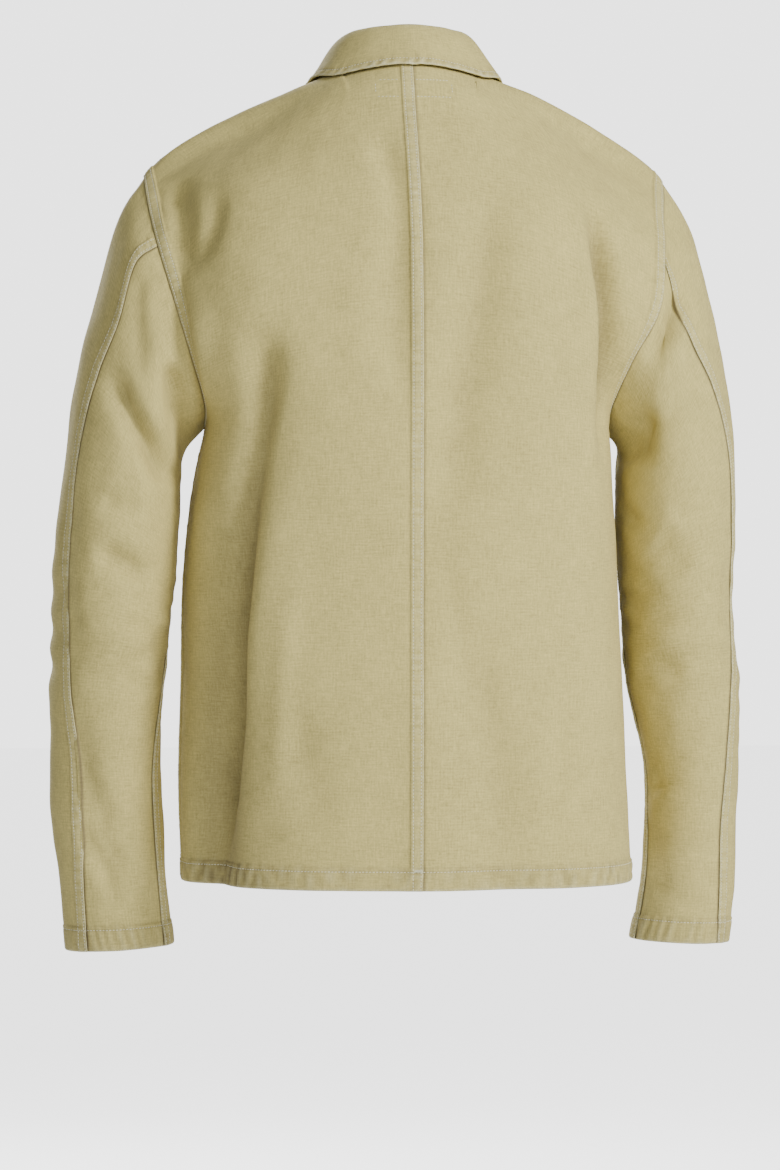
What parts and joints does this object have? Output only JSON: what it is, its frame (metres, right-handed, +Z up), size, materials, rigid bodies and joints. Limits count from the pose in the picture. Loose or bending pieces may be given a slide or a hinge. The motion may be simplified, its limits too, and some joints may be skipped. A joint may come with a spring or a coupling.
{
  "type": "chore jacket",
  "caption": "A hip-length chore jacket in khaki cotton canvas, buttoned, in its worn form with nobody in it: fold-over collar, centre-back seam, two-piece sleeves",
  "frame": {"origin": "Middle of the neck opening, level with the points where the shoulder seams meet the collar: the point where a neck holds the jacket up. It is also the mount neck_hang.", "axes": "+Z up, +Y out of the back, -Y out of the buttoned front, +X to the wearer's left."},
  "size_m": [0.597, 0.2996, 0.7887],
  "materials": {
    "canvas": "washed garment-dyed cotton canvas, matt",
    "button_horn": "brown-grey horn-look plastic, half gloss"
  },
  "bodies": {
    "root": {"back_left": "canvas", "back_right": "canvas", "front_left": "canvas", "front_right": "canvas", "sleeve_top_left": "canvas", "sleeve_under_left": "canvas", "sleeve_top_right": "canvas", "sleeve_under_right": "canvas", "collar_stand": "canvas", "collar_leaf": "canvas", "pocket_hip_left": "canvas", "pocket_hip_right": "canvas", "pocket_chest": "canvas", "button_1": "button_horn", "button_2": "button_horn", "button_3": "button_horn", "button_4": "button_horn", "button_5": "button_horn"}
  },
  "joints": []
}
